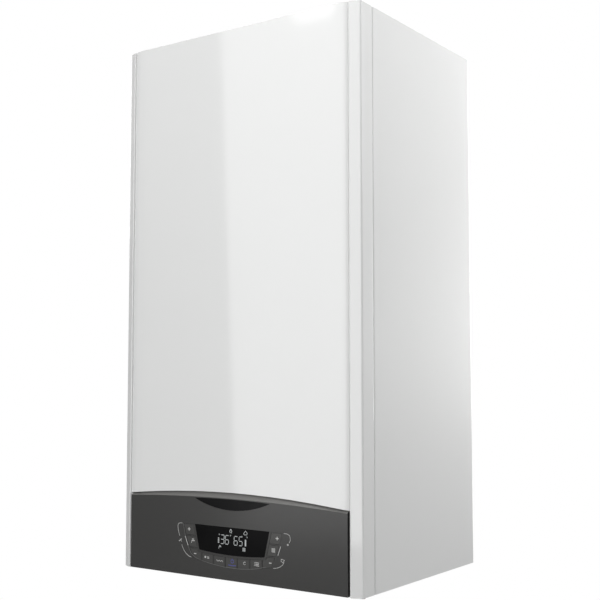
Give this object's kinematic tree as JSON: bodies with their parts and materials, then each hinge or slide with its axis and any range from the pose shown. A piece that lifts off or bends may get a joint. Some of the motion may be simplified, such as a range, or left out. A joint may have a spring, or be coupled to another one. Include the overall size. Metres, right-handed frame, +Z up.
{
  "type": "combi boiler",
  "caption": "Tall wall-hung combi boiler with a bevelled white front cover over a dark arched control panel with a display and push keys, opening for service.",
  "frame": {"origin": "midway between the two wall screws on the wall's surface", "axes": "+Z up, -Y towards the room, +X to the right seen from the room"},
  "size_m": [0.4, 0.319, 0.799],
  "materials": {
    "white_enamel": "semi-gloss powder coat",
    "zinc_sheet": "galvanised",
    "fastener_steel": "zinc plated",
    "fascia_plastic": "satin metallic anthracite",
    "crescent_black": "gloss",
    "display_black": "gloss",
    "key_plastic": "satin metallic anthracite",
    "board_green": "solder resist",
    "box_plastic": "matt",
    "black_plastic": "matt",
    "grey_plastic": "matt",
    "white_plastic": "satin",
    "blue_plastic": "satin",
    "red_plastic": "satin",
    "brass": "machined",
    "copper": "drawn copper tube",
    "stainless": "brushed",
    "cast_aluminium": "cast",
    "vessel_red": "semi-gloss enamel",
    "ceramic": "glazed",
    "hose_black": "matt"
  },
  "bodies": {
    "casing": {"air_silencer": "black_plastic", "air_vent": "brass", "bottom_tray": "zinc_sheet", "burner": "stainless", "burner_door": "cast_aluminium", "cable_gland": "black_plastic", "casing_screws": "fastener_steel", "condensate_hose": "hose_black", "condensate_trap": "grey_plastic", "diverter_motor": "white_plastic", "door_nuts": "fastener_steel", "electrodes": "ceramic", "exchanger_coil": "stainless", "exchanger_shell": "stainless", "expansion_vessel": "vessel_red", "fan_housing": "cast_aluminium", "fan_motor": "black_plastic", "flow_block": "brass", "flow_pipe": "copper", "flue_collar": "white_plastic", "flue_duct": "white_plastic", "gas_air_mixer": "cast_aluminium", "gas_pipe": "copper", "gas_valve": "cast_aluminium", "left_side_panel": "white_enamel", "pipe_unions": "brass", "plate_exchanger": "stainless", "pump_body": "black_plastic", "pump_motor": "grey_plastic", "rear_frame": "zinc_sheet", "return_block": "brass", "return_pipe": "copper", "right_side_panel": "white_enamel", "safety_valve": "brass", "top_panel": "white_enamel", "vessel_hose": "hose_black", "wall_bracket": "zinc_sheet"},
    "control_panel": {"fascia": "fascia_plastic", "crescent_insert": "crescent_black", "display_window": "display_black", "display_board": "board_green", "control_box": "box_plastic", "main_board": "board_green"},
    "front_cover": {"front_cover": "white_enamel"},
    "fan_impeller": {"fan_impeller": "cast_aluminium"},
    "pump_rotor": {"pump_rotor": "stainless"},
    "diverter_spindle": {"diverter_spindle": "stainless"},
    "relief_knob": {"relief_knob": "red_plastic"},
    "filling_knob": {"filling_knob": "blue_plastic"},
    "key_water_up": {"key_water_up": "key_plastic"},
    "key_water": {"key_water": "key_plastic"},
    "key_water_down": {"key_water_down": "key_plastic"},
    "key_heat_up": {"key_heat_up": "key_plastic"},
    "key_heat": {"key_heat": "key_plastic"},
    "key_heat_down": {"key_heat_down": "key_plastic"},
    "key_mode": {"key_mode": "key_plastic"},
    "key_comfort": {"key_comfort": "key_plastic"},
    "key_power": {"key_power": "key_plastic"},
    "key_reset": {"key_reset": "key_plastic"},
    "key_menu": {"key_menu": "key_plastic"}
  },
  "joints": [
    {"name": "cover_pull", "type": "slide", "parent": "casing", "child": "front_cover", "axis": [0, -1, 0], "range_m": [0, 0.15]},
    {"name": "panel_tilt", "type": "hinge", "parent": "casing", "child": "control_panel", "pos_m": [0, -0.285, -0.688], "axis": [1, 0, 0], "range_deg": [0, 90]},
    {"name": "fan_spin", "type": "hinge", "parent": "casing", "child": "fan_impeller", "pos_m": [0.105, -0.23, -0.338], "axis": [0, 1, 0], "continuous": true},
    {"name": "pump_spin", "type": "hinge", "parent": "casing", "child": "pump_rotor", "pos_m": [0.13, -0.17, -0.55], "axis": [0, 1, 0], "continuous": true},
    {"name": "diverter_stroke", "type": "slide", "parent": "casing", "child": "diverter_spindle", "axis": [0, 0, 1], "range_m": [0, 0.006]},
    {"name": "relief_turn", "type": "hinge", "parent": "casing", "child": "relief_knob", "pos_m": [0.065, -0.225, -0.661], "axis": [0, -1, 0], "range_deg": [0, 90]},
    {"name": "filling_turn", "type": "hinge", "parent": "casing", "child": "filling_knob", "pos_m": [0.098, -0.185, -0.7], "axis": [0, 0, -1], "range_deg": [0, 360]},
    {"name": "key_water_up_press", "type": "slide", "parent": "control_panel", "child": "key_water_up", "axis": [0, 1, 0], "range_m": [0, 0.001], "stiffness_N_per_m": 600},
    {"name": "key_water_press", "type": "slide", "parent": "control_panel", "child": "key_water", "axis": [0, 1, 0], "range_m": [0, 0.001], "stiffness_N_per_m": 600},
    {"name": "key_water_down_press", "type": "slide", "parent": "control_panel", "child": "key_water_down", "axis": [0, 1, 0], "range_m": [0, 0.001], "stiffness_N_per_m": 600},
    {"name": "key_heat_up_press", "type": "slide", "parent": "control_panel", "child": "key_heat_up", "axis": [0, 1, 0], "range_m": [0, 0.001], "stiffness_N_per_m": 600},
    {"name": "key_heat_press", "type": "slide", "parent": "control_panel", "child": "key_heat", "axis": [0, 1, 0], "range_m": [0, 0.001], "stiffness_N_per_m": 600},
    {"name": "key_heat_down_press", "type": "slide", "parent": "control_panel", "child": "key_heat_down", "axis": [0, 1, 0], "range_m": [0, 0.001], "stiffness_N_per_m": 600},
    {"name": "key_mode_press", "type": "slide", "parent": "control_panel", "child": "key_mode", "axis": [0, 1, 0], "range_m": [0, 0.001], "stiffness_N_per_m": 600},
    {"name": "key_comfort_press", "type": "slide", "parent": "control_panel", "child": "key_comfort", "axis": [0, 1, 0], "range_m": [0, 0.001], "stiffness_N_per_m": 600},
    {"name": "key_power_press", "type": "slide", "parent": "control_panel", "child": "key_power", "axis": [0, 1, 0], "range_m": [0, 0.001], "stiffness_N_per_m": 600},
    {"name": "key_reset_press", "type": "slide", "parent": "control_panel", "child": "key_reset", "axis": [0, 1, 0], "range_m": [0, 0.001], "stiffness_N_per_m": 600},
    {"name": "key_menu_press", "type": "slide", "parent": "control_panel", "child": "key_menu", "axis": [0, 1, 0], "range_m": [0, 0.001], "stiffness_N_per_m": 600}
  ]
}
